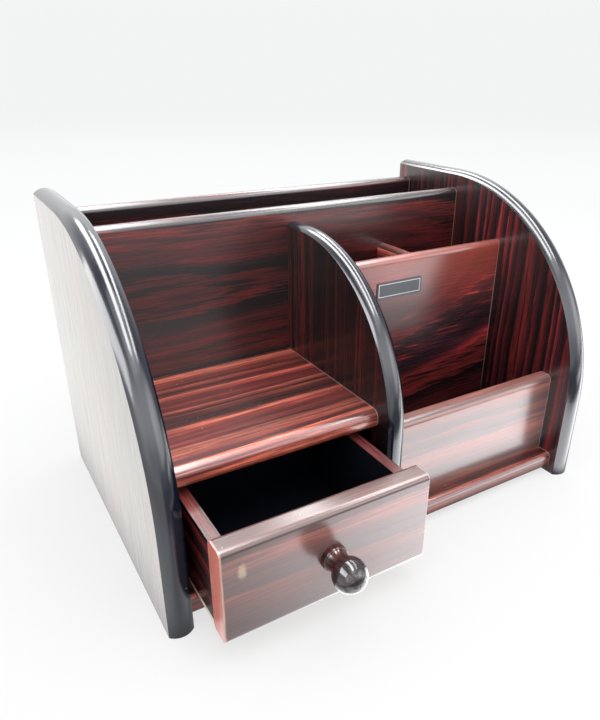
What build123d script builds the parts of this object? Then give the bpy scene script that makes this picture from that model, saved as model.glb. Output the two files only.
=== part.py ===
from build123d import *
import os

# Desktop organizer: upright boards between two round-fronted side panels, with a small drawer.
# Millimetres. +X to the user's right, +Y to the back, +Z up. While the boards are worked out,
# y = 0 is the front of the side panels' boards; everything moves to the final origin at export.

# Overall sizes
WIDTH = 265.0             # over both side panels
DEPTH = 174.0             # side panel's board, front to back
SIDE_H = 169.8            # side panel's board, under its edging

# Board thicknesses
SIDE_T = 12.0
PARTITION_T = 10.0
SHELF_T = 10.4
BASE_T = 10.2
LOW_T = 10.6
BACK_T = 8.0
TALL_T = 8.0
PEN_T = 7.6
PEN_DIVIDER_T = 8.0

# Round fronts: an arc from the upright front edge into the level top
SIDE_R = 118.0
PARTITION_R = 89.0
PARTITION_TOP_RUN = 4.0   # least level length left behind the partition's arc

# Where the boards stand
BASE_LIFT = 3.3           # gap under the base board
BASE_FRONT = 4.1
BACK_RECESS = 4.0         # back panel in from the side panels' back edges
BACK_DROP = 7.8           # its top below the side boards' top
LETTER_SLOT = 42.0        # clear depth of the letter slot
TALL_DROP = 0.8           # tall divider's top below the back panel's
PEN_BAY = 35.4            # clear depth of the pen bays
PEN_DROP = 25.6           # pen panel's top below the tall divider's
PEN_DIVIDER_DROP = 3.6    # pen divider's top below the pen panel's
LEFT_BAY = 112.4          # clear width between the left side and the partition
PARTITION_FRONT = 7.5
PARTITION_DROP = 10.6     # its board's top below the tall divider's
SHELF_FRONT = 16.6
SHELF_TOP = 60.7          # shelf's upper face above the base board
LOW_FRONT = 13.6
LOW_H = 50.6              # low front panel above the base board

# Rounded edges
THIN_ROUND = 3.2
PEN_DIVIDER_ROUND = 3.8
SHELF_ROUND = 4.4
LOW_ROUND = 3.6
BASE_ROUND = 3.0

# Edging: a plastic strip whose tongue is pressed into a groove in the board's edge
SIDE_BULGE = 2.7
PARTITION_BULGE = 2.4
TONGUE_T = 2.0
TONGUE_L = 6.5
TONGUE_GAP = 0.04         # groove over tongue, each side
GROOVE_END_GAP = 0.4      # groove deeper than the tongue

# Dowels in the boards
DOWEL_R = 2.5
DOWEL_L = 20.0
DOWEL_WALL = 3.0          # wood left behind a hole in a board's face
DOWEL_GAP = 0.04          # hole over dowel, in radius
DOWEL_END_GAP = 0.4
DOWEL_CHAMFER = 0.6
DOWEL_SHARES = (0.25, 0.75)   # of a board's length or height, where its dowels are

# Drawer
DRAWER_SIDE_GAP = 3.2     # drawer front to the bay's sides, each side
DRAWER_SHIFT = 0.8        # the drawer runs this far right of the bay's middle
DRAWER_TOP_GAP = 1.3      # drawer front to the shelf
DRAWER_FOOT_GAP = 0.3     # drawer front to the base board
DRAWER_RUN_GAP = 0.2      # drawer bottom to the base board
DRAWER_STOP_GAP = 1.0     # box to the tall divider when closed
DRAWER_OPEN = 45.0        # how far it stands open at rest
FRONT_T = 11.8
FRONT_ROUND = 2.6
BOX_T = 5.8               # sides and back of the drawer's box
BOX_LEFT_INSET = 0.6      # box in from the front's left end
BOX_RIGHT_INSET = 5.6     # box in from the front's right end
BOX_DROP = 2.4            # box's top below the front's
SHEET_T = 2.4
BOX_DOWEL_R = 1.5
BOX_DOWEL_L = 16.0
BOX_DOWEL_WALL = 5.0
PIN_R = 0.7
PIN_L = 22.0
BRAD_R = 0.7
BRAD_L = 12.0
BRAD_HEAD_R = 1.5
BRAD_HEAD_T = 0.6
NAIL_GAP = 0.01
PIN_SHARES = (0.2, 0.8)       # of the box's height
SIDE_BRAD_SHARES = (0.2, 0.5, 0.8)    # of the box's depth
BACK_BRAD_SHARES = (0.35, 0.65)       # of the box's width

# Knob, turned about an axis square to the drawer front
KNOB_BALL_R = 8.0
KNOB_BALL_AT = 13.3       # ball's centre from the drawer front
KNOB_FLANGE_R = 6.5
KNOB_FLANGE_T = 3.0
KNOB_RIM_ROUND = 0.7
KNOB_NECK_R = 5.2
KNOB_NECK_AT = 5.4
KNOB_MARK_R = 0.9         # the lathe's centre mark
KNOB_MARK_DEPTH = 0.6
SCREW_R = 1.7
SCREW_IN_KNOB = 11.0
SCREW_HEAD_R = 3.5
SCREW_HEAD_T = 2.3
SCREW_SLOT = 0.9

# Name plate, blank, on the pen panel
PLATE_W = 32.0
PLATE_H = 9.6
PLATE_T = 0.6
PLATE_FROM_PARTITION = 40.4
PLATE_FROM_TOP = 18.3
PLATE_CORNER_R = 0.8

# Lines that several boards share
LEFT_IN = -WIDTH / 2 + SIDE_T
RIGHT_IN = WIDTH / 2 - SIDE_T
PARTITION_L = LEFT_IN + LEFT_BAY
PARTITION_RT = PARTITION_L + PARTITION_T
PARTITION_X = PARTITION_L + PARTITION_T / 2
PEN_DIVIDER_X = (PARTITION_RT + RIGHT_IN) / 2
BASE_TOP = BASE_LIFT + BASE_T
BACK_REAR = DEPTH - BACK_RECESS
BACK_FACE = BACK_REAR - BACK_T
TALL_REAR = BACK_FACE - LETTER_SLOT
TALL_FACE = TALL_REAR - TALL_T
PEN_REAR = TALL_FACE - PEN_BAY
PEN_FACE = PEN_REAR - PEN_T
LOW_REAR = LOW_FRONT + LOW_T
BACK_TOP = SIDE_H - BACK_DROP
TALL_TOP = BACK_TOP - TALL_DROP
PEN_TOP = TALL_TOP - PEN_DROP
PEN_DIVIDER_TOP = PEN_TOP - PEN_DIVIDER_DROP
PARTITION_TOP = TALL_TOP - PARTITION_DROP
SHELF_Z = BASE_TOP + SHELF_TOP
LOW_TOP = BASE_TOP + LOW_H

# The drawer, at rest
DRAWER_W = LEFT_BAY - 2 * DRAWER_SIDE_GAP
DRAWER_X = LEFT_IN + LEFT_BAY / 2 + DRAWER_SHIFT
DRAWER_L = DRAWER_X - DRAWER_W / 2
DRAWER_R = DRAWER_X + DRAWER_W / 2
DRAWER_FOOT = BASE_TOP + DRAWER_FOOT_GAP
DRAWER_TOP = SHELF_Z - SHELF_T - DRAWER_TOP_GAP
DRAWER_Z = (DRAWER_FOOT + DRAWER_TOP) / 2
DRAWER_FACE = SHELF_FRONT - DRAWER_OPEN          # closed, it is level with the shelf's front
DRAWER_BACK_OF_FRONT = DRAWER_FACE + FRONT_T
BOX_REAR = TALL_FACE - DRAWER_STOP_GAP - DRAWER_OPEN
SHEET_Z = BASE_TOP + DRAWER_RUN_GAP
BOX_Z = SHEET_Z + SHEET_T
BOX_TOP = DRAWER_TOP - BOX_DROP
BOX_L = DRAWER_L + BOX_LEFT_INSET
BOX_R = DRAWER_R - BOX_RIGHT_INSET

# Final origin: the middle of the whole object's footprint, on the desk
KNOB_TIP = DRAWER_FACE - KNOB_BALL_AT - KNOB_BALL_R
ORIGIN_Y = (KNOB_TIP + DEPTH) / 2

AT_START = (Align.CENTER, Align.CENTER, Align.MIN)
ALL_MIN = (Align.MIN, Align.MIN, Align.MIN)
LEFTWARD, RIGHTWARD = (-1, 0, 0), (1, 0, 0)
FORWARD, BACKWARD, UPWARD = (0, -1, 0), (0, 1, 0), (0, 0, 1)


def board(x0, x1, y0, y1, z0, z1):
    """A plain board between two corners."""
    return Pos(x0, y0, z0) * Box(x1 - x0, y1 - y0, z1 - z0, align=ALL_MIN)


def round_long_edges(piece, along, side, radius):
    """Round the edges that run along one axis, at the low (0) or high (-1) end of another."""
    axis, end = side
    return fillet(piece.edges().filter_by(along).group_by(axis)[end], radius)


def rod(at, towards, radius, length):
    """A round rod from a point, in a direction."""
    return Plane(origin=at, z_dir=towards) * Cylinder(radius, length, align=AT_START)


def spread(low, high, shares):
    """Places between two ends, at the given shares of the way."""
    return [low + share * (high - low) for share in shares]


def step(at, towards, distance):
    """The point a distance from another, in a direction."""
    return tuple(a + distance * t for a, t in zip(at, towards))


# ---------------------------------------------------------------- round-fronted boards

def front_line(front, foot, top, back, radius):
    """A board's front and top edge in the YZ plane: upright, a quarter circle, then level."""
    upright = Line((front, foot), (front, top - radius))
    arc = JernArc(upright @ 1, upright % 1, radius, -90)
    level = Line(arc @ 1, (back, top))
    return upright + arc + level


def round_board(line, front, foot, top, back, x0, thickness):
    """The board behind a front line."""
    rear = Polyline((back, top), (back, foot), (front, foot))
    face = make_face(Plane.YZ * (line + rear))
    return Pos(x0, 0, 0) * extrude(face, thickness, dir=RIGHTWARD)


def edge_strip(line, front, foot, x, width, bulge):
    """A strip swept along a front line: a domed face as wide as the board, and a tongue."""
    half = width / 2
    dome = ThreePointArc((-half, 0), (0, -bulge), (half, 0))
    section = make_face(dome + Line((half, 0), (-half, 0)))
    section += Pos(0, TONGUE_L / 2) * Rectangle(TONGUE_T, TONGUE_L)
    return Pos(x, 0, 0) * sweep(Pos(0, front, foot) * section, path=Plane.YZ * line)


def edge_groove(line, front, foot, x):
    """What is cut from a board's edge to take its strip's tongue."""
    depth = TONGUE_L + GROOVE_END_GAP
    section = Pos(0, depth / 2) * Rectangle(TONGUE_T + 2 * TONGUE_GAP, depth)
    return Pos(x, 0, 0) * sweep(Pos(0, front, foot) * section, path=Plane.YZ * line)


def side_panel(x0):
    line = front_line(0, 0, SIDE_H, DEPTH, SIDE_R)
    panel = round_board(line, 0, 0, SIDE_H, DEPTH, x0, SIDE_T)
    middle = x0 + SIDE_T / 2
    strip = edge_strip(line, 0, 0, middle, SIDE_T, SIDE_BULGE)
    return panel - edge_groove(line, 0, 0, middle), strip


def partition():
    front, foot, back = PARTITION_FRONT, BASE_TOP, TALL_FACE
    radius = min(PARTITION_R, back - front - PARTITION_TOP_RUN)
    line = front_line(front, foot, PARTITION_TOP, back, radius)
    panel = round_board(line, front, foot, PARTITION_TOP, back, PARTITION_L, PARTITION_T)
    strip = edge_strip(line, front, foot, PARTITION_X, PARTITION_T, PARTITION_BULGE)
    return panel - edge_groove(line, front, foot, PARTITION_X), strip


# ---------------------------------------------------------------- straight boards

def straight_boards():
    base = board(LEFT_IN, RIGHT_IN, BASE_FRONT, BACK_REAR, BASE_LIFT, BASE_TOP)
    back = board(LEFT_IN, RIGHT_IN, BACK_FACE, BACK_REAR, BASE_TOP, BACK_TOP)
    tall = board(LEFT_IN, RIGHT_IN, TALL_FACE, TALL_REAR, BASE_TOP, TALL_TOP)
    pen = board(PARTITION_RT, RIGHT_IN, PEN_FACE, PEN_REAR, BASE_TOP, PEN_TOP)
    low = board(PARTITION_RT, RIGHT_IN, LOW_FRONT, LOW_REAR, BASE_TOP, LOW_TOP)
    shelf = board(LEFT_IN, PARTITION_L, SHELF_FRONT, TALL_FACE, SHELF_Z - SHELF_T, SHELF_Z)
    divider_l = PEN_DIVIDER_X - PEN_DIVIDER_T / 2
    divider = board(divider_l, divider_l + PEN_DIVIDER_T, PEN_REAR, TALL_FACE,
                    BASE_TOP, PEN_DIVIDER_TOP)
    top, nose = (Axis.Z, -1), (Axis.Y, 0)
    return {
        "base_board": round_long_edges(base, Axis.X, nose, BASE_ROUND),
        "back_panel": round_long_edges(back, Axis.X, top, THIN_ROUND),
        "tall_divider": round_long_edges(tall, Axis.X, top, THIN_ROUND),
        "pen_panel": round_long_edges(pen, Axis.X, top, THIN_ROUND),
        "low_front_panel": round_long_edges(low, Axis.X, top, LOW_ROUND),
        "drawer_shelf": round_long_edges(shelf, Axis.X, nose, SHELF_ROUND),
        "pen_divider": round_long_edges(divider, Axis.Y, top, PEN_DIVIDER_ROUND),
    }


def name_plate():
    x = PARTITION_RT + PLATE_FROM_PARTITION
    face = RectangleRounded(PLATE_W, PLATE_H, PLATE_CORNER_R)
    front = Plane(origin=(x, PEN_FACE, PEN_TOP - PLATE_FROM_TOP), x_dir=RIGHTWARD, z_dir=FORWARD)
    return front * extrude(face, PLATE_T)


# ---------------------------------------------------------------- drawer

def drawer_boards():
    front = board(DRAWER_L, DRAWER_R, DRAWER_FACE, DRAWER_BACK_OF_FRONT, DRAWER_FOOT, DRAWER_TOP)
    y0, y1 = DRAWER_BACK_OF_FRONT, BOX_REAR
    return {
        "drawer_front": fillet(front.edges().filter_by(Axis.X), FRONT_ROUND),
        "drawer_left_side": board(BOX_L, BOX_L + BOX_T, y0, y1, BOX_Z, BOX_TOP),
        "drawer_right_side": board(BOX_R - BOX_T, BOX_R, y0, y1, BOX_Z, BOX_TOP),
        "drawer_back": board(BOX_L + BOX_T, BOX_R - BOX_T, y1 - BOX_T, y1, BOX_Z, BOX_TOP),
        "drawer_bottom": board(BOX_L, BOX_R, y0, y1, SHEET_Z, BOX_Z),
    }


def drawer_knob():
    """The turned profile, distance from the drawer front along Y, revolved about its axis."""
    ball_from = KNOB_BALL_AT - (KNOB_BALL_R ** 2 - KNOB_NECK_R ** 2) ** 0.5
    edge = (KNOB_FLANGE_R, KNOB_FLANGE_T - KNOB_RIM_ROUND)
    rim = (KNOB_FLANGE_R - KNOB_RIM_ROUND, KNOB_FLANGE_T)
    flange = Polyline((0, 0), (KNOB_FLANGE_R, 0), edge) + RadiusArc(edge, rim, -KNOB_RIM_ROUND)
    neck = ThreePointArc(rim, (KNOB_NECK_R, KNOB_NECK_AT), (KNOB_NECK_R, ball_from))
    tip = KNOB_BALL_AT + KNOB_BALL_R
    ball = ThreePointArc((KNOB_NECK_R, ball_from), (KNOB_BALL_R, KNOB_BALL_AT), (0, tip))
    face = make_face(flange + neck + ball + Line((0, tip), (0, 0)))
    knob = revolve(Plane.XY * face, Axis.Y)
    mark = Pos(0, tip, 0) * Rot(90, 0, 0) * Cone(KNOB_MARK_R, 0, 2 * KNOB_MARK_DEPTH)
    hole = rod((0, 0, 0), BACKWARD, SCREW_R + NAIL_GAP, SCREW_IN_KNOB + DOWEL_END_GAP)
    return Pos(DRAWER_X, DRAWER_FACE, DRAWER_Z) * Rot(0, 0, 180) * (knob - mark - hole)


def knob_screw():
    """Headed screw from inside the drawer, through its front into the knob."""
    at = (DRAWER_X, DRAWER_BACK_OF_FRONT, DRAWER_Z)
    screw = rod(at, FORWARD, SCREW_R, FRONT_T + SCREW_IN_KNOB)
    head = rod(at, BACKWARD, SCREW_HEAD_R, SCREW_HEAD_T)
    head = fillet(head.edges().group_by(Axis.Y)[-1], SCREW_HEAD_T / 2)
    slot_at = step(at, BACKWARD, SCREW_HEAD_T)
    slot = Pos(*slot_at) * Box(2 * SCREW_HEAD_R, SCREW_HEAD_T, SCREW_SLOT)
    return screw + head - slot


# ---------------------------------------------------------------- dowels, pins and brads

def cut(parts, name, tool):
    parts[name] = parts[name] - tool


def dowel(parts, face_board, end_board, at, towards, seat, radius, length):
    """A dowel across a joint: seat deep in one board's face, the rest in the other's end."""
    away = tuple(-t for t in towards)
    hole_r = radius + DOWEL_GAP
    cut(parts, face_board, rod(at, away, hole_r, seat + DOWEL_END_GAP))
    cut(parts, end_board, rod(at, towards, hole_r, length - seat + DOWEL_END_GAP))
    peg = rod(step(at, away, seat), towards, radius, length)
    return chamfer(peg.edges().filter_by(GeomType.CIRCLE), DOWEL_CHAMFER)


def panel_dowels(parts):
    """Every dowel that holds the boards together."""
    z_tall = spread(BASE_TOP, TALL_TOP, DOWEL_SHARES)
    z_pen = spread(BASE_TOP, PEN_TOP, DOWEL_SHARES)
    z_low = spread(BASE_TOP, LOW_TOP, DOWEL_SHARES)
    y_base = spread(BASE_FRONT, BACK_REAR, DOWEL_SHARES)
    y_shelf = spread(SHELF_FRONT, TALL_FACE, DOWEL_SHARES)
    z_base, z_shelf = BASE_TOP - BASE_T / 2, SHELF_Z - SHELF_T / 2
    y_back, y_tall = BACK_FACE + BACK_T / 2, TALL_FACE + TALL_T / 2
    y_pen, y_low = PEN_FACE + PEN_T / 2, LOW_FRONT + LOW_T / 2
    side_seat, partition_seat = SIDE_T - DOWEL_WALL, PARTITION_T - DOWEL_WALL
    tall_seat, pen_seat, base_seat = TALL_T - DOWEL_WALL, PEN_T - DOWEL_WALL, BASE_T - DOWEL_WALL

    joints = []

    def across(face_board, end_boards, x, towards, seat):
        """Dowels along X from one upright face, at (y, z) places for each board that meets it."""
        for end_board in end_boards:
            for y, z in places[end_board]:
                joints.append((face_board, end_board, (x, y, z), towards, seat))

    places = {
        "base_board": [(y, z_base) for y in y_base],
        "back_panel": [(y_back, z) for z in z_tall],
        "tall_divider": [(y_tall, z) for z in z_tall],
        "drawer_shelf": [(y, z_shelf) for y in y_shelf],
        "pen_panel": [(y_pen, z) for z in z_pen],
        "low_front_panel": [(y_low, z) for z in z_low],
    }
    full_width = ["base_board", "back_panel", "tall_divider"]
    right_bay = ["pen_panel", "low_front_panel"]
    across("left_side_panel", full_width + ["drawer_shelf"], LEFT_IN, RIGHTWARD, side_seat)
    across("right_side_panel", full_width + right_bay, RIGHT_IN, LEFTWARD, side_seat)
    across("middle_partition", ["drawer_shelf"], PARTITION_L, LEFTWARD, partition_seat)
    across("middle_partition", right_bay, PARTITION_RT, RIGHTWARD, partition_seat)
    for z in z_pen:
        joints.append(("tall_divider", "middle_partition", (PARTITION_X, TALL_FACE, z), FORWARD, tall_seat))
        joints.append(("tall_divider", "pen_divider", (PEN_DIVIDER_X, TALL_FACE, z), FORWARD, tall_seat))
        joints.append(("pen_panel", "pen_divider", (PEN_DIVIDER_X, PEN_REAR, z), BACKWARD, pen_seat))
    for y in y_shelf:
        joints.append(("base_board", "middle_partition", (PARTITION_X, y, BASE_TOP), UPWARD, base_seat))
    return [dowel(parts, *joint, DOWEL_R, DOWEL_L) for joint in joints]


def drawer_dowels(parts):
    """Dowels from the drawer front's back face into the ends of the box's sides."""
    pegs = []
    for name, x in (("drawer_left_side", BOX_L + BOX_T / 2), ("drawer_right_side", BOX_R - BOX_T / 2)):
        for z in spread(BOX_Z, BOX_TOP, DOWEL_SHARES):
            at = (x, DRAWER_BACK_OF_FRONT, z)
            pegs.append(dowel(parts, "drawer_front", name, at, BACKWARD, FRONT_T - BOX_DOWEL_WALL,
                              BOX_DOWEL_R, BOX_DOWEL_L))
    return pegs


def drawer_back_pins(parts):
    """Headless pins through the box's sides into the ends of its back."""
    pins = []
    sides = (("drawer_left_side", BOX_L, RIGHTWARD), ("drawer_right_side", BOX_R, LEFTWARD))
    for name, x, towards in sides:
        for z in spread(BOX_Z, BOX_TOP, PIN_SHARES):
            at = (x, BOX_REAR - BOX_T / 2, z)
            hole = rod(at, towards, PIN_R + NAIL_GAP, PIN_L)
            cut(parts, name, hole)
            cut(parts, "drawer_back", hole)
            pins.append(rod(at, towards, PIN_R, PIN_L))
    return pins


def bottom_brads(parts):
    """Flat-headed brads up through the bottom sheet, their heads level with its underside."""
    spots = []
    for y in spread(DRAWER_BACK_OF_FRONT, BOX_REAR, SIDE_BRAD_SHARES):
        spots.append(("drawer_left_side", BOX_L + BOX_T / 2, y))
        spots.append(("drawer_right_side", BOX_R - BOX_T / 2, y))
    for x in spread(BOX_L, BOX_R, BACK_BRAD_SHARES):
        spots.append(("drawer_back", x, BOX_REAR - BOX_T / 2))
    brads = []
    for name, x, y in spots:
        at = (x, y, SHEET_Z)
        hole = rod(at, UPWARD, BRAD_R + NAIL_GAP, BRAD_L)
        cut(parts, "drawer_bottom", hole + rod(at, UPWARD, BRAD_HEAD_R + NAIL_GAP, BRAD_HEAD_T))
        cut(parts, name, hole)
        brads.append(rod(at, UPWARD, BRAD_R, BRAD_L) + rod(at, UPWARD, BRAD_HEAD_R, BRAD_HEAD_T))
    return brads


# ---------------------------------------------------------------- the whole object

def build():
    parts = straight_boards()
    parts["left_side_panel"], parts["left_edge_trim"] = side_panel(-WIDTH / 2)
    parts["right_side_panel"], parts["right_edge_trim"] = side_panel(RIGHT_IN)
    parts["middle_partition"], parts["partition_edge_trim"] = partition()
    parts["name_plate"] = name_plate()
    parts.update(drawer_boards())
    parts["drawer_knob"] = drawer_knob()
    parts["knob_screw"] = knob_screw()
    cut(parts, "drawer_front", rod((DRAWER_X, DRAWER_FACE, DRAWER_Z), BACKWARD,
                                   SCREW_R + NAIL_GAP, FRONT_T))
    groups = {"panel_dowels": panel_dowels(parts), "drawer_dowels": drawer_dowels(parts),
              "drawer_back_pins": drawer_back_pins(parts), "bottom_brads": bottom_brads(parts)}
    for name, solids in groups.items():
        parts[name] = Compound([piece.solid() for piece in solids])
    return parts


os.makedirs("parts", exist_ok=True)
for node, shape in build().items():
    export_step(Pos(0, -ORIGIN_Y, 0) * shape, f"parts/{node}.step")
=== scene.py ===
import math

import bpy
from mathutils import Matrix, Vector


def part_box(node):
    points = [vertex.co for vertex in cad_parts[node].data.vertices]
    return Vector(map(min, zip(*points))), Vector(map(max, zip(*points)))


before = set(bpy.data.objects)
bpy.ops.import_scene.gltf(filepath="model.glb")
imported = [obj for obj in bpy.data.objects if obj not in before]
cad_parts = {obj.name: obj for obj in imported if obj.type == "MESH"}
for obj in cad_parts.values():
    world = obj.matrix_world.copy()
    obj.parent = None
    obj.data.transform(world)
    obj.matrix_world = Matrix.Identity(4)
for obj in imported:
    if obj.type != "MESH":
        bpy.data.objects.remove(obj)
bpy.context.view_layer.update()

MM = 0.001

# ---------------------------------------------------------------- camera

CAMERA_FROM_FOOT = Vector((-0.05107, -0.21149, 0.23329))     # m, from the left side panel's front foot
CAMERA_YAW = math.radians(31.1)      # to the right of straight back
CAMERA_PITCH = math.radians(-25.59)
CAMERA_ROLL = math.radians(0.34)
CAMERA_LENS = 31.83                  # mm
CAMERA_SENSOR = 36                   # mm
CAMERA_SHIFT = (-0.0216, 0.0166)


def make_camera():
    ahead = Vector((math.sin(CAMERA_YAW) * math.cos(CAMERA_PITCH),
                    math.cos(CAMERA_YAW) * math.cos(CAMERA_PITCH), math.sin(CAMERA_PITCH)))
    level = Vector((math.cos(CAMERA_YAW), -math.sin(CAMERA_YAW), 0))
    upright = level.cross(ahead)
    right = level * math.cos(CAMERA_ROLL) + upright * math.sin(CAMERA_ROLL)
    up = upright * math.cos(CAMERA_ROLL) - level * math.sin(CAMERA_ROLL)
    data = bpy.data.cameras.new("camera")
    data.sensor_width = CAMERA_SENSOR
    data.lens = CAMERA_LENS
    data.shift_x, data.shift_y = CAMERA_SHIFT
    data.clip_start = 0.01
    camera = bpy.data.objects.new("camera", data)
    bpy.context.scene.collection.objects.link(camera)
    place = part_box("left_side_panel")[0] + CAMERA_FROM_FOOT
    turn = Matrix((right, up, -ahead)).transposed()
    camera.matrix_world = Matrix.Translation(place) @ turn.to_4x4()
    bpy.context.scene.camera = camera


# ---------------------------------------------------------------- node graphs

class Graph:
    """Makes nodes in one tree. Each call returns the new node's output socket."""

    def __init__(self, tree):
        self.tree = tree
        tree.nodes.clear()

    def node(self, kind, inputs, output=0, **settings):
        made = self.tree.nodes.new(kind)
        for name, value in settings.items():
            setattr(made, name, value)
        for socket, value in inputs.items():
            if isinstance(value, bpy.types.NodeSocket):
                self.tree.links.new(value, made.inputs[socket])
            else:
                made.inputs[socket].default_value = value
        return made.outputs[output]

    def math(self, operation, *values):
        return self.node("ShaderNodeMath", dict(enumerate(values)), operation=operation)

    def plus(self, a, b):
        return self.math("ADD", a, b)

    def times(self, a, b):
        return self.math("MULTIPLY", a, b)

    def dot(self, vector, direction):
        return self.node("ShaderNodeVectorMath", {0: vector, 1: direction}, output=1,
                         operation="DOT_PRODUCT")

    def stretch(self, vector, by):
        """Each coordinate times its own number: noise on it is fine where the number is large."""
        return self.node("ShaderNodeVectorMath", {0: vector, 1: by}, operation="MULTIPLY")

    def point(self, x, y, z=0.0):
        return self.node("ShaderNodeCombineXYZ", {0: x, 1: y, 2: z})

    def xyz(self, vector):
        parts = self.tree.nodes.new("ShaderNodeSeparateXYZ")
        self.tree.links.new(vector, parts.inputs[0])
        return parts.outputs

    def fade(self, value, start, end, low=0.0, high=1.0):
        """From low at start to high at end, smoothly, and level beyond them."""
        return self.node("ShaderNodeMapRange", {0: value, 1: start, 2: end, 3: low, 4: high},
                         interpolation_type="SMOOTHSTEP")

    def band(self, value, middle, half, soft):
        """1 within half of the middle, fading to 0 over soft on each side."""
        off = self.math("ABSOLUTE", self.math("SUBTRACT", value, middle))
        return self.fade(off, half, half + soft, 1.0, 0.0)

    def noise(self, vector, scale=1.0, detail=2.0, roughness=0.5):
        return self.node("ShaderNodeTexNoise", {"Vector": vector, "Scale": scale, "Detail": detail,
                                                "Roughness": roughness})

    def grain_noise(self, along, across, fineness, cut, detail, roughness=0.5):
        """Noise drawn out along the grain. Fineness is along and across, per metre; cut picks the slice."""
        place = self.point(self.times(along, fineness[0]), self.times(across, fineness[1]), cut)
        return self.noise(place, detail=detail, roughness=roughness)

    def ramp(self, value, stops):
        made = self.tree.nodes.new("ShaderNodeValToRGB")
        self.tree.links.new(value, made.inputs[0])
        elements = made.color_ramp.elements
        while len(elements) < len(stops):
            elements.new(0.5)
        for element, (at, colour) in zip(elements, stops):
            element.position = at
            element.color = (*colour, 1)
        return made.outputs[0]

    def mix(self, share, a, b, blend="MIX"):
        a, b = [v if isinstance(v, bpy.types.NodeSocket) else (*v, 1) for v in (a, b)]
        return self.node("ShaderNodeMix", {0: share, 6: a, 7: b}, output=2, data_type="RGBA",
                         blend_type=blend)

    def shade(self, colour, level):
        """The colour times a grey level."""
        return self.mix(1.0, colour, self.point(level, level, level), "MULTIPLY")

    def bump(self, height, strength, distance):
        return self.node("ShaderNodeBump", {"Height": height, "Strength": strength, "Distance": distance})

    def surface(self, **sockets):
        """Principled shader straight to the output; a name's underscores are spaces."""
        inputs = {name.replace("_", " "): value for name, value in sockets.items()}
        shader = self.node("ShaderNodeBsdfPrincipled", inputs)
        self.node_out(shader)

    def node_out(self, shader, kind="ShaderNodeOutputMaterial"):
        end = self.tree.nodes.new(kind)
        self.tree.links.new(shader, end.inputs[0])


def new_material(name):
    material = bpy.data.materials.new(name)
    material.use_nodes = True
    return material, Graph(material.node_tree)


def object_place(g):
    return g.node("ShaderNodeTexCoord", {}, output=3)


def object_normal(g):
    return g.node("ShaderNodeTexCoord", {}, output=1)


def dress(node, material):
    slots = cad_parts[node].data.materials
    slots.clear()
    slots.append(material)


# ---------------------------------------------------------------- rosewood foil

X, Y, Z = (1, 0, 0), (0, 1, 0), (0, 0, 1)
CUT_END = ((0.47, 0.115, 0.08), (0.5, 0.2, 0.16))            # plain, scratched
RAW_BOARD = (0.16, 0.085, 0.045)
# pale line where a board ends: the seam against the next board, partly a painted edge highlight
END_SEAM_AND_HIGHLIGHT = (0.42, 0.30, 0.26)
END_SEAM_AND_HIGHLIGHT_WIDTH = 0.35 * MM
DUST_COLOUR = (0.62, 0.5, 0.36)
RUBBED_EDGE_AND_HIGHLIGHT = (0.42, 0.25, 0.20)
WORN_SPOT = (0.5, 0.42, 0.26)
# painted light: the pen panel's colours near its top, above the low front panel
PEN_PANEL_LIT_TOP = ((0.12, 0.018, 0.014), (0.36, 0.07, 0.045))
BOX_TOP_EDGE = ((0.012, 0.003, 0.004), (0.20, 0.036, 0.034))
# near black standing in for the shade inside the drawer: painted shade
DRAWER_PAINTED_SHADE = (0.0022, 0.003, 0.006)
DRAWER_SHADED_INSIDES = {"drawer_front": Y, "drawer_left_side": X, "drawer_right_side": (-1, 0, 0),
                  "drawer_back": (0, -1, 0)}        # the way each board's inner face looks; its near black is painted shade inside the drawer

# ring colours (dark, brown, red, bright): deep on most boards, pale with a painted sheen on flat ones, milky
# with a painted reflection on the drawer front and low panel
DEEP = ((0.0042, 0.0012, 0.0022), (0.015, 0.0024, 0.0038),
        (0.052, 0.0046, 0.0058), (0.105, 0.0105, 0.0095))
PALE_SHEEN = ((0.070, 0.0090, 0.0085), (0.165, 0.0250, 0.0190),
        (0.310, 0.0600, 0.0400), (0.430, 0.1150, 0.0720))
MILKY_SHEEN = ((0.082, 0.0440, 0.0420), (0.112, 0.0520, 0.0470),
        (0.170, 0.0630, 0.0540), (0.225, 0.0820, 0.0670))

# board: grain, across, pith line across (mm), pith depth (mm), slope of the grain, ring spacing (mm),
# tone (partly the board's own shade of foil, partly painted light for how much light reaches it), ring
# colours
FIGURES = {
    "back_panel": (X, (0, 1, 1), 120, 14, 0.10, 16, 1.0, DEEP),
    "tall_divider": (X, (0, 1, 1), 168, 12, 0.16, 26, 1.0, DEEP),
    "pen_panel": (X, (0, 1, 1), 150, 18, 0.42, 34, 2.2, DEEP),
    "low_front_panel": (X, (0, 1, 1), -140, 30, 0.05, 14, 1.2, MILKY_SHEEN),
    "drawer_shelf": (X, (0, 1, 1), -320, 10, 0.02, 13, 1.0, PALE_SHEEN),
    "base_board": (X, (0, 1, 1), -300, 10, 0.02, 10, 0.6, PALE_SHEEN),
    "drawer_front": (X, (0, 1, 1), -90, 26, 0.08, 18, 1.0, MILKY_SHEEN),
    "left_side_panel": (Z, (-3, 1, 0), -400, 10, 0.02, 9, 1.0, DEEP),
    "right_side_panel": (Z, (3, 1, 0), -380, 10, 0.03, 7, 1.7, DEEP),
    "middle_partition": (Z, (3, 1, 0), -420, 10, 0.02, 16, 0.5, DEEP),
    "pen_divider": (Y, (1, 0, 1), -260, 10, 0.04, 10, 0.9, PALE_SHEEN),
    "drawer_left_side": (Y, (1, 0, 1), -250, 10, 0.03, 9, 1.0, DEEP),
    "drawer_right_side": (Y, (1, 0, 1), -280, 10, 0.03, 9, 1.6, DEEP),
    "drawer_back": (X, (0, 1, 1), -240, 10, 0.03, 9, 1.0, DEEP),
}

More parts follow.
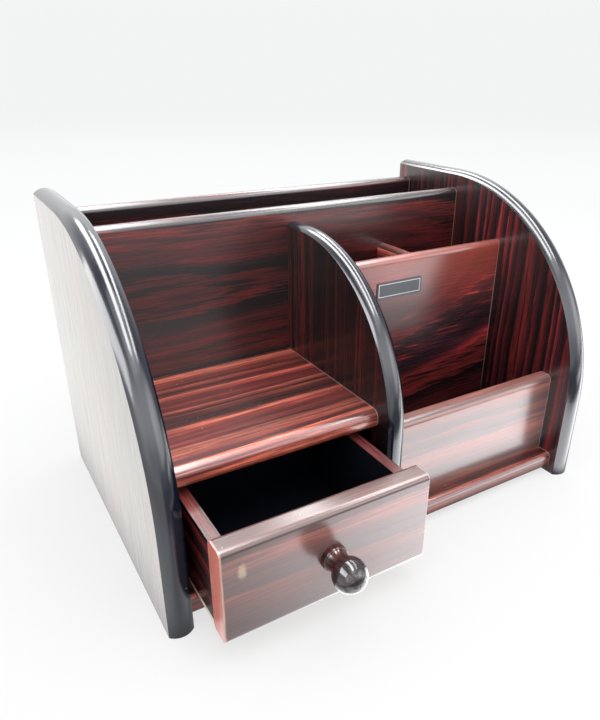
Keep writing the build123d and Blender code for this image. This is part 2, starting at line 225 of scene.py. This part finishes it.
# each board is cut from its own place in the wood: metres along the grain, and steps through the noise
STEP_ALONG = 0.37
STEP_THROUGH = 0.9
RING_CROWDING = 3.4                  # rings that the uneven growth adds or takes away
RING_RAGGEDNESS = 0.8                # rings, at their ragged edges
SPREAD = 0.5                         # how far the rings, fibres and patches differ in level
# less spread on the boards whose painted milky reflection washes out the rings
MILKY_SHEEN_SPREAD = 0.25


def foil_colour(g, place, seed, figure):
    """Growth rings of a sawn board: each ring rises from near black to red and drops, with ragged edges."""
    grain, across, pith, depth, slope, spacing, tone, colours = figure
    a = g.plus(g.dot(place, grain), STEP_ALONG * seed)
    c = g.dot(place, across)
    cut = STEP_THROUGH * seed
    sway = g.grain_noise(a, c, (5.0, 9.0), cut, 2.5)
    wave = g.grain_noise(a, c, (16.0, 60.0), cut, 3.0)
    bend = min(0.034, 0.008 + 0.16 * slope)
    c2 = g.plus(c, g.plus(g.times(g.plus(sway, -0.5), bend), g.times(g.plus(wave, -0.5), 0.2 * bend)))
    side = g.plus(c2, -pith * MM)
    height = g.plus(g.times(g.dot(place, grain), slope), depth * MM)
    radius = g.math("SQRT", g.plus(g.times(side, side), g.times(height, height)))
    crowd = g.noise(g.point(g.times(radius, 55.0), 0.3 * seed, 0.0), detail=3.0)
    rings = g.plus(g.times(radius, 1 / (spacing * MM)), g.times(crowd, RING_CROWDING))
    streaks = g.grain_noise(a, c, (26.0, 700.0), cut, 4.0, roughness=0.6)
    tooth = g.math("FRACT", g.plus(rings, g.times(g.plus(streaks, -0.5), RING_RAGGEDNESS)))
    own = g.node("ShaderNodeTexWhiteNoise", {"W": g.plus(g.math("FLOOR", rings), 3.0 * seed)},
                 noise_dimensions="1D")
    dark, brown, red, bright = colours
    colour = g.ramp(tooth, [(0.0, brown), (0.10, dark), (0.24, dark), (0.48, brown), (0.74, red),
                            (0.88, bright), (1.0, brown)])
    spread = MILKY_SHEEN_SPREAD if colours is MILKY_SHEEN else SPREAD
    colour = g.shade(colour, g.fade(own, 0.0, 1.0, (1 - spread) * tone, (0.9 + spread) * tone))
    fibres = g.grain_noise(a, c, (30.0, 1300.0), cut, 3.0, roughness=0.65)
    colour = g.shade(colour, g.fade(fibres, 0.28, 0.72, 1 - spread, 1 + spread))
    patches = g.grain_noise(a, c, (7.0, 60.0), cut, 3.0)
    colour = g.shade(colour, g.fade(patches, 0.32, 0.68, 1 - spread, 0.9 + spread))
    pores = g.grain_noise(a, c, (160.0, 2600.0), cut, 1.0)
    colour = g.mix(g.fade(pores, 0.62, 0.70, 0.0, 1.3 * spread), colour, dark)
    return colour, fibres


def dust(g, place, scale, chance):
    """Small pale specks: the middles of a few cells out of many."""
    cells = g.tree.nodes.new("ShaderNodeTexVoronoi")
    cells.inputs["Scale"].default_value = scale
    g.tree.links.new(place, cells.inputs["Vector"])
    chosen = g.fade(g.xyz(cells.outputs["Color"])[0], 1 - chance, 1 - chance + 0.001)
    size = g.fade(g.xyz(cells.outputs["Color"])[1], 0.0, 1.0, 0.05, 0.13)
    spot = g.math("LESS_THAN", cells.outputs["Distance"], size)
    return g.times(chosen, spot)


def foil(node, seed):
    material, g = new_material(node + "_foil")
    place, normal = object_place(g), object_normal(g)
    low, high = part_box(node)
    colour, fibres = foil_colour(g, place, seed, FIGURES[node])
    px, _, pz = g.xyz(place)
    nz = g.xyz(normal)[2]
    specks = g.times(dust(g, place, 520.0, 0.06), g.fade(nz, 0.5, 0.9, 0.05, 0.75))
    colour = g.mix(specks, colour, DUST_COLOUR)
    # pale line at each end of the board: the seam, with a painted highlight of the edge
    if FIGURES[node][0] == X:
        ends = g.plus(g.math("LESS_THAN", px, low.x + END_SEAM_AND_HIGHLIGHT_WIDTH),
                      g.math("GREATER_THAN", px, high.x - END_SEAM_AND_HIGHLIGHT_WIDTH))
        colour = g.mix(g.times(ends, 0.65), colour, END_SEAM_AND_HIGHLIGHT)
    if node == "tall_divider":           # painted shade: darker down to the drawer's shelf
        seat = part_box("drawer_shelf")[1].z
        colour = g.shade(colour, g.fade(pz, seat, seat + 40 * MM, 0.4, 0.85))
    if node == "pen_panel":              # painted shade low down in the pen well, painted light brighter and redder to its top
        colour = g.shade(colour, g.fade(pz, low.z, high.z, 0.35, 1.6))
        top = g.mix(fibres, *PEN_PANEL_LIT_TOP)
        colour = g.mix(g.fade(pz, high.z - 45 * MM, high.z, 0.0, 0.75), colour, top)
    if node == "drawer_front":
        colour = front_wear(g, colour, place, normal, low, high)
    colour = g.mix(g.fade(nz, -0.8, -0.95, 0.0, 0.9), colour, RAW_BOARD)
    if node in ("drawer_left_side", "drawer_right_side"):
        top = g.mix(g.fade(fibres, 0.35, 0.65), *BOX_TOP_EDGE)
        colour = g.mix(g.fade(nz, 0.5, 0.9, 0.0, 0.85), colour, top)
    # painted shade: the drawer's inner faces coloured near black, with little coat, for the dark inside it
    inside = g.fade(g.dot(normal, DRAWER_SHADED_INSIDES.get(node, (0, 0, 0))), 0.8, 0.95)
    colour = g.mix(inside, colour, DRAWER_PAINTED_SHADE)
    coat = g.times(g.fade(fibres, 0.3, 0.7, 1.0, 0.8), g.fade(inside, 0.0, 1.0, 1.0, 0.15))
    bump = g.bump(fibres, 0.10, 0.1 * MM)
    g.surface(Base_Color=colour, Roughness=0.5, Specular_IOR_Level=0.1, Normal=bump,
              Coat_Weight=coat, Coat_Roughness=0.22, Coat_IOR=1.55, Coat_Normal=bump)
    return material


def front_wear(g, colour, place, normal, low, high):
    """The drawer front: plain reddish ends, a rubbed left edge that also carries a painted highlight, and a
    worn spot by its upper corner.
    """
    nx = g.math("ABSOLUTE", g.xyz(normal)[0])
    px, _, pz = g.xyz(place)
    scratches = g.noise(g.stretch(place, (100.0, 300.0, 40.0)), detail=4.0)
    end = g.mix(g.fade(scratches, 0.55, 0.7), *CUT_END)
    colour = g.mix(g.fade(nx, 0.8, 0.95), colour, end)
    # the rubbed left edge: pale wear along it, and a painted highlight of the edge
    rub = g.fade(g.noise(place, 90.0, 3.0), 0.3, 0.6, 0.35, 0.9)
    edge = g.times(g.fade(px, low.x + 0.5 * MM, low.x + 1.1 * MM, 1.0, 0.0), g.fade(nx, 0.9, 0.5))
    colour = g.mix(g.times(edge, rub), colour, RUBBED_EDGE_AND_HIGHLIGHT)
    spot_x = g.times(g.plus(px, -(low.x + 9.5 * MM)), 1 / (1.9 * MM))
    spot_z = g.times(g.plus(pz, -(high.z - 12.5 * MM)), 1 / (3.6 * MM))
    ring = g.math("SQRT", g.plus(g.times(spot_x, spot_x), g.times(spot_z, spot_z)))
    ragged = g.plus(ring, g.times(g.noise(place, 600.0, 3.0), 0.9))
    spot = g.times(g.fade(ragged, 0.8, 1.9, 0.5, 0.0), g.fade(nx, 0.9, 0.5))
    return g.mix(spot, colour, WORN_SPOT)


# ---------------------------------------------------------------- other materials

EDGING_BLACK = (0.003, 0.0048, 0.012)
EDGING_SPECK = (0.5, 0.5, 0.5)
KNOB_BALL = (0.006, 0.006, 0.009)
HARDBOARD_CUT = (0.66, 0.58, 0.44)
PLATE_DARK = (0.03, 0.034, 0.043)
PLATE_LINE = (0.62, 0.63, 0.64)


def black_edging():
    material, g = new_material("black_edging")
    place = object_place(g)
    ripple = g.noise(place, 55.0, 2.0)
    specks = dust(g, place, 350.0, 0.012)
    scuffs = g.noise(g.stretch(place, (900.0, 60.0, 60.0)), detail=3.0)
    colour = g.mix(g.times(specks, 0.7), EDGING_BLACK, EDGING_SPECK)
    bump = g.bump(ripple, 0.05, 1.0 * MM)
    g.surface(Base_Color=colour, Roughness=g.fade(scuffs, 0.4, 0.75, 0.15, 0.24), Normal=bump)
    return material


def turned_wood():
    """Stained and lacquered, darker on the ball; the grain runs along the knob's axis."""
    material, g = new_material("turned_wood")
    place = object_place(g)
    fibres = g.noise(g.stretch(place, (700.0, 60.0, 700.0)), detail=3.0)
    colour = g.ramp(fibres, [(0.3, (0.009, 0.0028, 0.0026)), (0.52, (0.038, 0.007, 0.0055)),
                             (0.72, (0.11, 0.02, 0.013))])
    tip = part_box("drawer_knob")[0].y
    ball = g.fade(g.xyz(place)[1], tip + 13 * MM, tip + 7 * MM)
    colour = g.mix(g.times(ball, 0.8), colour, KNOB_BALL)
    bump = g.bump(fibres, 0.06, 0.1 * MM)
    coat = g.fade(fibres, 0.35, 0.65, 0.4, 1.0)
    g.surface(Base_Color=colour, Roughness=0.45, Specular_IOR_Level=0.1, Normal=bump, Coat_Weight=coat,
              Coat_Roughness=0.06, Coat_IOR=1.5)
    return material


def hardboard():
    """Brown pressed fibre, pale where it is cut; its upper face, the drawer's floor, is coloured near black
    as painted shade.
    """
    material, g = new_material("hardboard")
    place = object_place(g)
    fibre = g.noise(place, 700.0, 4.0, 0.7)
    brown = g.ramp(fibre, [(0.3, (0.10, 0.05, 0.025)), (0.7, (0.22, 0.12, 0.06))])
    nx, _, nz = g.xyz(object_normal(g))
    # painted shade: the drawer's floor, facing up, is coloured near black
    painted = g.fade(nz, 0.6, 0.9)
    cut = g.fade(g.math("ABSOLUTE", nx), 0.6, 0.9)
    colour = g.mix(cut, g.mix(painted, brown, DRAWER_PAINTED_SHADE), HARDBOARD_CUT)
    bump = g.bump(fibre, 0.25, 0.15 * MM)
    g.surface(Base_Color=colour, Roughness=0.75, Specular_IOR_Level=0.05, Normal=bump)
    return material


def plate_plastic():
    """Dark plate with a thin pale line inside its edge."""
    material, g = new_material("plate_plastic")
    place = object_place(g)
    low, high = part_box("name_plate")
    middle = (low + high) / 2
    px, _, pz = g.xyz(place)
    across = g.math("ABSOLUTE", g.plus(px, -middle.x))
    up = g.math("ABSOLUTE", g.plus(pz, -middle.z))
    inset = g.math("MINIMUM", g.math("SUBTRACT", high.x - middle.x, across),
                   g.math("SUBTRACT", high.z - middle.z, up))
    line = g.band(inset, 1.2 * MM, 0.16 * MM, 0.08 * MM)
    grain = g.noise(place, 1500.0, 3.0)
    colour = g.mix(line, PLATE_DARK, PLATE_LINE)
    bump = g.bump(grain, 0.15, 0.05 * MM)
    g.surface(Base_Color=colour, Roughness=0.35, Normal=bump)
    return material


def beech():
    material, g = new_material("dowel_beech")
    place = object_place(g)
    fibre = g.noise(g.stretch(place, (200.0, 900.0, 900.0)), detail=3.0)
    colour = g.ramp(fibre, [(0.3, (0.42, 0.24, 0.12)), (0.7, (0.62, 0.42, 0.24))])
    g.surface(Base_Color=colour, Roughness=0.6)
    return material


def zinc_steel():
    material, g = new_material("zinc_steel")
    place = object_place(g)
    tarnish = g.noise(place, 500.0, 3.0)
    colour = g.ramp(tarnish, [(0.3, (0.45, 0.43, 0.4)), (0.7, (0.66, 0.65, 0.63))])
    g.surface(Base_Color=colour, Metallic=1.0, Roughness=g.fade(tarnish, 0.3, 0.7, 0.28, 0.5))
    return material


def dress_all():
    for seed, node in enumerate(FIGURES, start=1):
        dress(node, foil(node, seed))
    edging, steel, wood = black_edging(), zinc_steel(), beech()
    for node in ("left_edge_trim", "right_edge_trim", "partition_edge_trim"):
        dress(node, edging)
    for node in ("knob_screw", "drawer_back_pins", "bottom_brads"):
        dress(node, steel)
    for node in ("panel_dowels", "drawer_dowels"):
        dress(node, wood)
    dress("drawer_knob", turned_wood())
    dress("drawer_bottom", hardboard())
    dress("name_plate", plate_plastic())


# ---------------------------------------------------------------- stage and light

FLOOR_SIZE = 8.0
FLOOR_WHITE = 0.17
FLOOR_LIFT = 0.66                    # light from within the floor, so that shadows stay soft and pale
HORIZON = 0.905                      # level where the floor meets the backdrop
BACKDROP_TINT = (0.985, 0.998, 1.0, 1)
CEILING = 1.9                        # level of the world's light from above

# what reflections see of the surroundings, in levels added to 1, low down and higher up
BACK_WALL = (0.5, 1.4)
FRONT_WALL = (1.4, 3.6)
LEFT_WALL = 1.4
RIGHT_WALL = 3.0
RIGHT_WALL_WAY = (0.72, -0.68, 0.15)
MIRRORED_CEILING = 0.75              # times the walls' level

# what reflections see of the floor, in levels: as if lit in front of the object and on its right
FLOOR_DIM, FLOOR_DIM_FAR = 0.65, 1.2
FLOOR_NEAR = (0.3, 6.9)              # in front, on the left and on the right
FLOOR_SIDE = 7.0                     # farther out, on the right
FLOOR_LEFT = 1.3                     # beside the left panel
LEFT_TINT, RIGHT_TINT = (1.0, 1.0, 0.97), (0.965, 0.98, 1.0)

# lights: centre, size, radiance
STRIP_HEIGHT = 0.87
STRIPS = (((0.03, 0.2, STRIP_HEIGHT), (0.20, 1.45), 21.0),
          ((0.48, 0.2, STRIP_HEIGHT), (0.18, 1.45), 21.0))
LEFT_STRIP = ((-0.85, 0.0, 0.70), (1.2, 0.5), 12.0)
OVERHEAD = ((0.1, -0.5, 1.4), (1.2, 1.2), 2.5)


def make_floor():
    """Pale floor that runs into the backdrop. Reflections see their own levels of it."""
    bpy.ops.mesh.primitive_plane_add(size=FLOOR_SIZE)
    floor = bpy.context.object
    floor.name = "floor"
    material, g = new_material("floor")
    place = object_place(g)
    x, y, _ = g.xyz(place)
    lit = g.node("ShaderNodeAddShader", {
        0: g.node("ShaderNodeBsdfDiffuse", {0: (FLOOR_WHITE, FLOOR_WHITE, FLOOR_WHITE, 1)}),
        1: g.node("ShaderNodeEmission", {0: (1, 1, 1, 1), 1: FLOOR_LIFT})})
    away = g.node("ShaderNodeVectorMath", {0: place}, output=1, operation="LENGTH")
    plain = g.node("ShaderNodeEmission", {0: BACKDROP_TINT, 1: g.fade(away, 0.6, 3.6, 0.99, HORIZON)})
    seen = g.node("ShaderNodeMixShader", {0: g.fade(away, 0.55, 1.1), 1: lit, 2: plain})
    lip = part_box("base_board")[0].y      # the floor right under the base board's edge stays dim
    front = g.times(g.fade(y, -0.19, -0.14), g.fade(y, lip - 17 * MM, lip - 5 * MM, 1.0, 0.0))
    near = g.times(front, g.fade(x, -0.15, 0.06, *FLOOR_NEAR))
    side = g.times(g.times(g.fade(y, -0.22, -0.28), g.fade(y, -0.46, -0.38)),
                   g.fade(x, 0.17, 0.30, 0.0, FLOOR_SIDE))
    far = g.fade(y, -0.46, -0.54, FLOOR_DIM, FLOOR_DIM_FAR)
    level = g.plus(g.plus(near, side), g.plus(far, g.fade(x, -0.15, -0.12, FLOOR_LEFT, 0.0)))
    tint = g.mix(g.fade(x, -0.15, -0.1), LEFT_TINT, RIGHT_TINT)
    mirrored = g.node("ShaderNodeEmission", {0: tint, 1: level})
    glossy = g.node("ShaderNodeLightPath", {}, output=3)
    g.node_out(g.node("ShaderNodeMixShader", {0: glossy, 1: seen, 2: mirrored}))
    floor.data.materials.append(material)


def area_light(name, aim, centre, size, radiance):
    data = bpy.data.lights.new(name, "AREA")
    data.shape = "RECTANGLE"
    data.size, data.size_y = size
    data.energy = radiance * math.pi * size[0] * size[1]
    light = bpy.data.objects.new(name, data)
    bpy.context.scene.collection.objects.link(light)
    light.location = centre
    light.rotation_mode = "QUATERNION"
    light.rotation_quaternion = (Vector(aim) - Vector(centre)).to_track_quat("-Z", "Y")
    light.visible_camera = False
    return light


def make_lights():
    """Strips that only the gloss sees make the edging's bright lines; one soft light adds to the world's."""
    for number, strip in enumerate(STRIPS):
        below = Vector(strip[0]) - Vector(Z)
        area_light(f"strip_{number}", below, *strip).visible_diffuse = False
    area_light("left_strip", (0.0, 0.0, 0.08), *LEFT_STRIP).visible_diffuse = False
    area_light("overhead", (0.0, 0.0, 0.05), *OVERHEAD)


def make_world():
    """White surroundings, brighter overhead. Reflections see brighter walls and a dimmer ceiling."""
    world = bpy.data.worlds.new("surroundings")
    bpy.context.scene.world = world
    world.use_nodes = True
    g = Graph(world.node_tree)
    ray = g.node("ShaderNodeTexCoord", {}, output=0)
    x, y, z = g.xyz(ray)
    ambient = g.fade(z, 0.06, 0.5, HORIZON, CEILING)
    back = g.times(g.fade(y, 0.1, 0.6), g.fade(z, 0.2, 0.4, *BACK_WALL))
    right = g.fade(g.dot(ray, RIGHT_WALL_WAY), 0.86, 0.98, 0.0, RIGHT_WALL)
    front = g.times(g.fade(y, -0.2, -0.85), g.fade(z, 0.05, 0.35, *FRONT_WALL))
    left = g.times(g.fade(x, -0.35, -0.8), LEFT_WALL)
    walls = g.plus(1.0, g.plus(g.plus(back, right), g.plus(front, left)))
    mirrored = g.times(walls, g.fade(z, 0.5, 0.8, 1.0, MIRRORED_CEILING))
    glossy = g.node("ShaderNodeLightPath", {}, output=3)
    level = g.plus(g.times(ambient, g.plus(1.0, g.times(glossy, -1.0))), g.times(mirrored, glossy))
    g.node_out(g.node("ShaderNodeBackground", {0: BACKDROP_TINT, 1: level}), "ShaderNodeOutputWorld")


# ---------------------------------------------------------------- the scene

bpy.context.scene.view_settings.view_transform = "Standard"
make_camera()
dress_all()
make_floor()
make_lights()
make_world()
